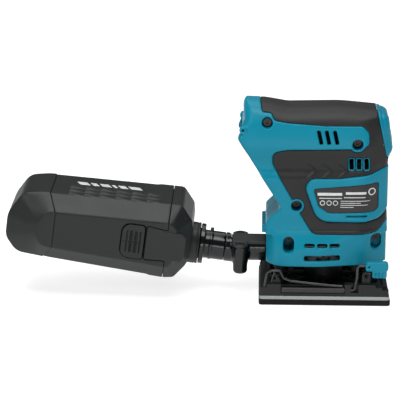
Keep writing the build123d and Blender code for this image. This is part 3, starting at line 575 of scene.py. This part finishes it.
def make_nameplate(side):
    """A plain rating plate in the pod, with bars and rings in place of its print."""
    room = Room((-13, -37, 74), (48, -22, 106), (0.4, 0.25, 0.4))
    form = housing_form(room)
    label_area = room.side(LABEL_OUTLINE)
    plate = meet(form + 0.12, -(form + 0.8), 0.1)
    plate = meet(plate, label_area, 0.3)
    surface("nameplate_%s_film" % side, room, plate, "label_film", "housing", ["nameplate_" + side],
            mirrored=side == "left")
    room = Room((-9, -37, 80), (44, -24, 101), 0.25)
    form = housing_form(room)
    print_area = np.minimum.reduce([np.maximum(between(room.X, left, right), between(room.Z, bottom, top))
                                    for left, right, bottom, top in LABEL_BARS])
    for x in (-2.6, 3.0, 8.4):
        ring = np.abs(np.hypot(room.X - x, room.Z - 86.2) - 1.9) - 0.35
        print_area = np.minimum(print_area, ring)
    badge = np.abs(np.hypot(room.X - 39.4, room.Z - 95.6) - 2.7) - 0.5
    print_area = np.minimum(print_area, badge)
    ink = np.maximum(np.maximum(form - 0.12, -(form + 0.4)), print_area)
    surface("nameplate_%s_print" % side, room, ink, "white_print", "housing", [],
            mirrored=side == "left")


def make_buttons():
    """The two push buttons, dished, each with a raised mark."""
    rise, up, out = panel_axes()
    for name, share in BUTTONS.items():
        low, high = box_mm(name)
        room = Room([c - 1 for c in low], [c + 1 for c in high], 0.35)
        x, z = PANEL_LOW[0] + rise.x * share, PANEL_LOW[1] + rise.z * share
        across = (room.X - x) * up.x + (room.Z - z) * up.z
        outward = (room.X - x) * out.x + (room.Z - z) * out.z
        radial = np.hypot(across, room.Y)
        cap = meet(radial - 4.6, np.maximum(outward - 0.4, -4.6 - outward), 0.7)
        cap = cut(cap, np.sqrt(radial ** 2 + (outward - 12.1) ** 2) - 12.0, 0.4)
        mark = np.abs(across) - 1.8 if name == "on_button" else np.abs(radial - 1.6) - 0.3
        wide = np.abs(room.Y) - 0.35 if name == "on_button" else mark
        mark = np.maximum(np.maximum(mark, wide), np.abs(outward - 0.1) - 0.35)
        flange = np.maximum(radial - 5.4, np.abs(outward + 5.5) - 0.6)
        stem = np.maximum(radial - 4.1, between(outward, -5.5, -3.3))
        cap = join(join(cap, mark, 0.2), np.minimum(flange, stem), 0.2)
        finish = "grey_plastic" if name == "on_button" else "dark_plastic"
        body = "on_switch" if name == "on_button" else "off_switch"
        surface(name + "_cap", room, cap, finish, body, [name])


# ---- base -------------------------------------------------------------------------------
def make_foam():
    """The rubbery foam pad that backs the abrasive, with its dust holes."""
    room = Room([c - 1 for c in PAD_LOW], [c + 1 for c in PAD_HIGH], 0.5)
    outline = both_sides([(PAD_LOW[0], PAD_HIGH[1]), (PAD_HIGH[0], PAD_HIGH[1])], [3.0, 3.0])
    pad = meet(room.plan(outline), between(room.Z, PAD_LOW[2], PAD_HIGH[2]), 1.0)
    for x in (-38.0, -13.0, 13.0, 38.0):
        for y in (-30.0, 30.0):
            pad = cut(pad, room.rod_z(x, y, 4.5), 0.5)
    piece = surface("foam_pad_cushion", room, pad, "foam", "pad_base", ["foam_pad"])


def make_columns():
    """The rubber legs between the housing and the pad, waisted with rings so that they bend."""
    low, high = box_mm("rubber_columns")
    room = Room((30, 11, low[2] - 1), (46, 27, high[2] + 1), 0.4)
    across = room.rod_z(38.0, 19.0, 0.0)
    rings = 0.5 * np.cos((room.Z - low[2]) * 2 * math.pi / 4.0)
    leg = meet(across - 4.5 - np.clip(rings, -0.5, 0.5), between(room.Z, low[2], high[2]), 0.6)
    leg = join(leg, meet(across - 6.2, between(room.Z, SKIRT_BOTTOM + 2, high[2]), 0.5), 0.5)
    for name, turn in (("a", (1, 1)), ("b", (-1, 1)), ("c", (-1, -1)), ("d", (1, -1))):
        spin = Matrix.Diagonal((turn[0], turn[1], 1, 1))
        piece = surface("rubber_leg_" + name, room, leg, "black_rubber", "housing",
                        ["rubber_columns"] if name == "a" else [], place=spin)
        if turn[0] * turn[1] < 0:
            piece.data.flip_normals()


def make_knobs():
    """The clamp levers' grips, with ridges on the lower step."""
    for side in ("right", "left"):
        low, high = box_mm("clamp_knob_right")
        room = Room([c - 1 for c in low], [c + 1 for c in high], 0.3)
        upper = rounded([(34.6, 30.9), (53.8, 30.9), (53.8, 39.0), (34.6, 39.0)], [1.5, 2.5, 2.5, 2.5])
        lower = rounded([(40.2, 24.8), (52.6, 24.8), (52.6, 33.0), (40.2, 33.0)], [2.0, 2.0, 0.5, 0.5])
        y = CLAMP_AXIS[1]
        knob = meet(room.side(upper), between(room.Y, y - 3.6, y + 3.0), 1.6)
        knob = join(knob, meet(room.side(lower), between(room.Y, y - 2.8, y + 2.4), 1.2), 0.8)
        for x in (43.2, 46.0, 48.8):
            slit = np.maximum(np.abs(room.X - x) - 0.5, room.Z - 30.0)
            knob = cut(knob, np.maximum(slit, room.Y - (y - 2.0)), 0.4)
        knob = cut(knob, room.rod_y(37.4, 35.0, 0.8), 0.4)
        surface("clamp_knob_%s_grip" % side, room, knob, "teal_plastic", "clamp_" + side,
                ["clamp_knob_" + side], mirrored=side == "left")


# ---- nozzle -----------------------------------------------------------------------------
NOZZLE_TOP = 45.1
NOZZLE_SEAM = 42.05
NOZZLE_SCREW = (-72.3, 18.0)


def tilted():
    """The place of the dust line, which is drawn level about the swivel point."""
    move = Matrix.Translation(Vector(SWIVEL) * MM)
    return move @ Matrix.Rotation(BOX_TILT, 4, "Y")


def make_nozzle():
    """The glossy rear nozzle, its screwed flat cover and the bosses on both sides."""
    room = Room((-89, -26, 17), (-49.5, 26, 50), 0.4)
    along = (room.X - SWIVEL[0]) * math.cos(BOX_TILT) - (room.Z - SWIVEL[2]) * math.sin(BOX_TILT)
    rise = (room.X - SWIVEL[0]) * math.sin(BOX_TILT) + (room.Z - SWIVEL[2]) * math.cos(BOX_TILT)
    socket = meet(np.hypot(room.Y, rise) - 12.6, between(along, -8.0, 1.5), 0.8)
    pipe = meet(room.rod_x(0, PORT_HEIGHT, 12.0), between(room.X, SWIVEL[0] + 1, -50.0), 0.6)
    tube = join(pipe, socket, 3.0)
    y = np.abs(room.Y)
    from_screw = np.hypot(room.X - NOZZLE_SCREW[0], y - NOZZLE_SCREW[1])
    column = meet(from_screw - 6.2, between(room.Z, 18.4, NOZZLE_TOP), 3.6)
    web = meet(meet(np.abs(room.X - NOZZLE_SCREW[0]) - 6.5, between(room.Z, 28, 44.5), 3.0),
               y - NOZZLE_SCREW[1], 1.0)
    whole = join(tube, join(column, web, 2.5), 3.0)
    whole = meet(whole, room.Z - NOZZLE_TOP - 6.0 * np.clip((-78.5 - room.X) / 5.0, 0, 1), 1.0)
    strip = np.maximum(y - 12.0, between(room.Z, NOZZLE_SEAM, NOZZLE_TOP))
    whole = join(whole, meet(strip, between(room.X, -79, -50), 0.5), 0.4)
    lid_area = np.maximum(NOZZLE_SEAM - room.Z, -79.0 - room.X)
    bore = np.minimum(room.rod_x(0, PORT_HEIGHT, 7.0), np.maximum(np.hypot(room.Y, rise) - 9.0, along + 1.7))
    recess = np.maximum(from_screw - 4.3, 43.4 - room.Z)
    body = cut(whole, lid_area - 0.03, 0.25)
    body = cut(body, bore, 0.3)
    cover = meet(whole, lid_area, 0.35)
    cover = cut(cut(cover, recess, 0.4), bore, 0.3)
    surface("nozzle_tube", room, body, "gloss_black_plastic", "housing", ["nozzle_body"])
    surface("nozzle_lid", room, cover, "grey_plastic", "housing", ["nozzle_cover"])


def make_swivel():
    """The turning elbow between the nozzle and the dust box, drawn level."""
    room = Room((-44, -19, -19), (3, 19, 19), 0.4)
    around = room.rod_x(0, 0, 0.0)
    tube = meet(around - 12.4, between(room.X, -27, -8.2), 0.8)
    tube = join(tube, meet(around - 12.9, between(room.X, -21.6, -19.4), 0.5), 0.6)
    tube = join(tube, meet(around - 17.5, between(room.X, -30.0, -26.0), 0.7), 0.8)
    tube = join(tube, np.maximum(around - 13.0, between(room.X, -42, -30)), 0.3)
    tube = join(tube, np.maximum(around - 8.9, between(room.X, -8.4, -2.0)), 0.3)
    tube = join(tube, np.maximum(room.rod_z(-20.5, 0, 1.5), between(room.Z, 11, 15.3)), 0.6)
    tube = cut(tube, np.maximum(around - 10.5, room.X + 10), 0.3)
    tube = cut(tube, around - 7.2, 0.3)
    surface("swivel_elbow", room, tube, "gloss_black_plastic", "swivel", ["swivel_tube"], place=tilted())
    collar = meet(around - 18.0, between(room.X, -41.5, -30.4), 1.0)
    collar = groove(collar, room.X + 32.6, 0.5, 0.5)
    collar = cut(collar, around - 13.1, 0.4)
    surface("box_collar_ring", room, collar, "dark_plastic", "box_front", ["box_collar"], place=tilted())


# ---- dust box ---------------------------------------------------------------------------
LID_FACE, LID_SEAM, CAP_SEAM, BOX_END = -37.0, -58.4, -155.0, -196.8
BOX_HALF_WIDTH, BOX_WALL, BOX_CHAMFER, CAP_STEP = 45.0, 2.0, 13.5, 7.0
ARM_OUTLINE = rounded([(-76.4, -7.5), (-42.0, -6.0), (-42.0, 18.0), (-76.4, 21.5)], [2.0, 5.0, 5.0, 2.0])
LATCH_OUTLINE = rounded([(-97.0, -7.5), (-77.6, -7.5), (-77.6, 21.5), (-97.0, 21.5)], [7.0, 2.0, 2.0, 7.0])
DASH_START, DASH_END, DASH_PITCH = -148.0, -68.0, 13.4
# Where each bar of the box's plain print starts, and how wide it is.
PRINT_BARS = [(-141.0, 9.0), (-129.5, 5.5), (-121.5, 8.0), (-111.0, 3.0), (-105.5, 6.5), (-96.5, 10.0)]


def box_side_outline():
    """The box's silhouette from the side, in X and Z."""
    points = [(LID_FACE, -6.0), (LID_FACE, 20.0), (-38.6, 28.0), (-49.0, 40.6), (LID_SEAM, 40.4),
              (-168.0, 36.7), (-185.5, 33.4), (BOX_END, 14.0), (BOX_END, -7.0), (-186.0, -19.8),
              (CAP_SEAM, -22.0), (LID_SEAM, -26.0), (-49.0, -24.6), (-40.4, -13.0)]
    return rounded(points, [3.0, 3.0, 6.0, 6.0, 20.0, 30.0, 14.0, 20.0, 14.0, 14.0, 60.0, 20.0, 6.0, 8.0])


def box_flank_outline():
    """The flat of the box's side, inside the chamfers."""
    points = [(-49.0, -8.0), (-49.0, 18.0), (-56.0, 26.8), (-150.0, 23.2), (-163.5, 22.6), (-169.2, 12.0),
              (-169.2, -1.0), (-163.0, -7.8), (-150.0, -8.8), (-56.0, -12.4)]
    return rounded(points, [5.0, 9.0, 9.0, 30.0, 11.0, 9.0, 9.0, 10.0, 30.0, 6.0])


def box_form(room):
    """The box's outside. Chamfers run from its silhouette in to the flats of its sides."""
    side, flank = room.side(box_side_outline()), room.side(box_flank_outline())
    flat = np.abs(room.Y) - BOX_HALF_WIDTH
    share = np.clip((flat + BOX_CHAMFER) / BOX_CHAMFER, 0, 1)
    chamfer = ((1 - share) * side + share * flank) / math.sqrt(2)
    limit = (side + flat + BOX_CHAMFER) / math.sqrt(2)
    return meet(meet(meet(side, flat, 0.8), chamfer, 1.0), limit - 0.2, 1.0)


def dashes(room):
    """Three rows of raised dashes on the box's top, each higher at its near edge."""
    height = 0
    for row in (-28.0, -17.0, -6.0):
        across = (room.Y - row) / 3.2
        ridge = np.clip(1 - np.abs(across + 0.35) ** 1.5, 0, 1) * np.clip(10 * (across + 1.1), 0, 1)
        along = np.mod(room.X - DASH_START, DASH_PITCH)
        dash = np.clip(along / 1.0, 0, 1) * np.clip((DASH_PITCH - along) / 9.0, 0.25, 1)
        inside = np.clip(room.X - DASH_START, 0, 1) * np.clip(DASH_END - room.X, 0, 1)
        height = height + ridge * dash * inside
    return height * (room.Z > 25)


def make_dust_box():
    """The dust box: lid, case and end cap, with a latch on each side."""
    room = Room((-200, -48, -29), (-34, 48, 43), 0.55)
    form = box_form(room)
    y = -np.abs(room.Y)

    share = np.clip((BOX_HALF_WIDTH - np.abs(room.Y)) / BOX_CHAMFER, 0, 1)
    cap_line = room.X - CAP_SEAM + CAP_STEP * share
    lid_line = room.X - LID_SEAM
    arm_plan, latch_plan = room.side(ARM_OUTLINE), room.side(LATCH_OUTLINE)

    rim = np.clip((room.X + 73.0) / 3.0, 0, 1)
    skin = form + 0.45 * (1 - rim) - 1.5 * dashes(room) * (form > -3)
    wall = meet(skin, -(form + BOX_WALL + 0.5), 0.4)
    lip = np.maximum(np.maximum(form + BOX_WALL + 0.4, -(form + BOX_WALL + 2.0)), np.abs(room.Y) - 38.5)
    case = meet(wall, np.maximum(lid_line + 0.15, 0.05 - cap_line), 0.5)
    pocket = np.minimum(arm_plan, latch_plan) - 0.35
    floor = np.maximum(np.maximum(pocket - 2.2, between(y, -43.4, -39.6)), lid_line + 0.15)
    case = join(case, floor, 0.3)
    case = cut(case, np.maximum(pocket, y + 41.4), 0.5)
    inner_rim = np.maximum(lip, np.abs(cap_line) - 4)
    case = join(case, inner_rim, 0.2)
    surface("dust_box_case_shell", room, case, "dark_plastic", "box_case", ["dust_box_case"], place=tilted())

    cap = meet(meet(form, -(form + BOX_WALL), 0.4), cap_line + 0.05, 0.6)
    surface("dust_box_cap_shell", room, cap, "dark_plastic", "box_case", ["dust_box_end_cap"], place=tilted())

    lid = meet(meet(form, -(form + BOX_WALL), 0.4), 0.15 - lid_line, 0.6)
    lid = join(lid, np.maximum(lip, between(lid_line, -4.0, 3.0)), 0.2)
    lid = join(lid, np.maximum(np.maximum(form + 0.5, -(form + 4)), between(lid_line, 0.8, 3.0)), 0.2)
    arm = meet(arm_plan, between(y, -BOX_HALF_WIDTH - 0.6, -41.6), 1.2)
    lid = join(lid, arm, 0.8)
    lid = cut(lid, room.rod_x(0, 0, 18.05), 0.4)
    peep = np.maximum(room.block((-62.5, -59.3), (-15.0, -11.0), (20, 60)), -(form + 1.2))
    lid = cut(lid, peep, 0.3)
    surface("dust_box_lid_shell", room, lid, "dark_plastic", "box_front", ["dust_box_lid"], place=tilted())
    make_box_print()
    make_latches()


def make_box_print():
    """Plain slanted bars in place of the lettering on the box's top."""
    room = Room((-148, 1, 30), (-78, 17, 43), (0.5, 0.5, 0.2))
    form = box_form(room)
    lean = room.X + 0.45 * (room.Y - 9.0)
    bars = [between(lean, start, start + width) for start, width in PRINT_BARS]
    print_area = np.maximum(np.minimum.reduce(bars), between(room.Y, 5.0, 13.0))
    ink = np.maximum(np.maximum(form + 0.25, -(form + 0.75)), print_area)
    surface("dust_box_print", room, ink, "white_print", "box_case", [], place=tilted())


def make_latches():
    """The two latch buttons with their finger ridges."""
    for side in ("right", "left"):
        room = Room((-99, -49, -10), (-76, -40, 24), 0.35)
        plan = room.side(LATCH_OUTLINE)
        button = meet(plan, between(room.Y, -BOX_HALF_WIDTH - 1.4, -43.1), 1.2)
        finger_area = between(room.Z, -2.5, 16.5)
        for x in (-91.0, -86.8, -82.6):
            ridge = np.maximum(np.abs(room.X - x) - 0.9, between(room.Y, -BOX_HALF_WIDTH - 2.1, -44))
            button = join(button, np.maximum(ridge, finger_area), 0.2)
            side_grooves = np.maximum(np.abs(np.abs(room.X - x) - 1.4) - 0.45, room.Y + 45.6)
            button = cut(button, np.maximum(side_grooves, finger_area), 0.2)
        button = cut(button, np.maximum(between(room.Z, 6.6, 7.4), room.Y + 46.0), 0.2)
        surface("latch_button_%s_cap" % side, room, button, "dark_plastic", "latch_" + side,
                ["latch_button_" + side], place=tilted(), mirrored=side == "left")


# ---- studio -----------------------------------------------------------------------------
def make_floor():
    """A pale backlit table top."""
    mesh = bpy.data.meshes.new("floor")
    size = 6.0
    corners = [(-size, -size, 0), (size, -size, 0), (size, size, 0), (-size, size, 0)]
    mesh.from_pydata(corners, [], [(0, 1, 2, 3)])
    floor = bpy.data.objects.new("floor", mesh)
    bpy.context.scene.collection.objects.link(floor)
    sheet = material("floor_sheet", (0.45, 0.45, 0.45), 0.9, bump=0.0, variation=0.01, edge=0.1,
                     specular=0.05)
    glow = sheet.node_tree.nodes["Principled BSDF"]
    glow.inputs["Emission Color"].default_value = (1, 1, 1, 1)
    glow.inputs["Emission Strength"].default_value = 0.80
    mesh.materials.append(sheet)
    floor.location.z = -0.0002


def area_light(name, place, target, size, power, colour=(1, 1, 1)):
    data = bpy.data.lights.new(name, "AREA")
    data.shape = "RECTANGLE"
    data.size, data.size_y = size
    data.energy = power
    data.color = colour
    lamp = bpy.data.objects.new(name, data)
    bpy.context.scene.collection.objects.link(lamp)
    lamp.location = place
    lamp.rotation_euler = (Vector(target) - Vector(place)).to_track_quat("-Z", "Y").to_euler()
    return lamp


def make_studio():
    make_floor()
    aim = (-0.10, 0, 0.08)
    area_light("top", (-0.15, -0.45, 1.55), aim, (1.5, 0.8), 21)
    area_light("overhead", (0.0, 1.2, 2.4), (0.0, 0.8, 0.0), (3.2, 2.6), 36)
    area_light("key", (-1.3, -1.2, 1.1), aim, (0.6, 0.6), 7)
    area_light("strip", (0.1, -1.7, 0.22), aim, (0.9, 0.22), 3.5)
    world = bpy.data.worlds.new("studio")
    bpy.context.scene.world = world
    world.use_nodes = True
    world.node_tree.nodes["Background"].inputs["Color"].default_value = (1, 1, 1, 1)
    world.node_tree.nodes["Background"].inputs["Strength"].default_value = 0.10
    bpy.context.scene.view_settings.view_transform = "Standard"


def make_camera():
    """A long lens, nearly square to the right side and a little above it."""
    azimuth, elevation, roll = math.radians(1.57), math.radians(15.4), math.radians(0.2)
    target = Vector((-0.1076, 0.0, 0.0782))
    back = Vector((math.sin(azimuth) * math.cos(elevation), -math.cos(azimuth) * math.cos(elevation),
                   math.sin(elevation)))
    data = bpy.data.cameras.new("camera")
    data.lens = 198.0
    data.sensor_width = 36.0
    camera = bpy.data.objects.new("camera", data)
    bpy.context.scene.collection.objects.link(camera)
    camera.location = target + back * 1.906
    turn = (-back).to_track_quat("-Z", "Y").to_matrix().to_4x4()
    camera.matrix_world = Matrix.Translation(camera.location) @ turn @ Matrix.Rotation(roll, 4, "Z")
    bpy.context.scene.camera = camera


paint_nodes()
for half_name in ("right", "left"):
    make_housing(half_name)
make_buttons()
make_foam()
make_columns()
make_knobs()
make_nozzle()
make_swivel()
make_dust_box()
make_studio()
make_camera()
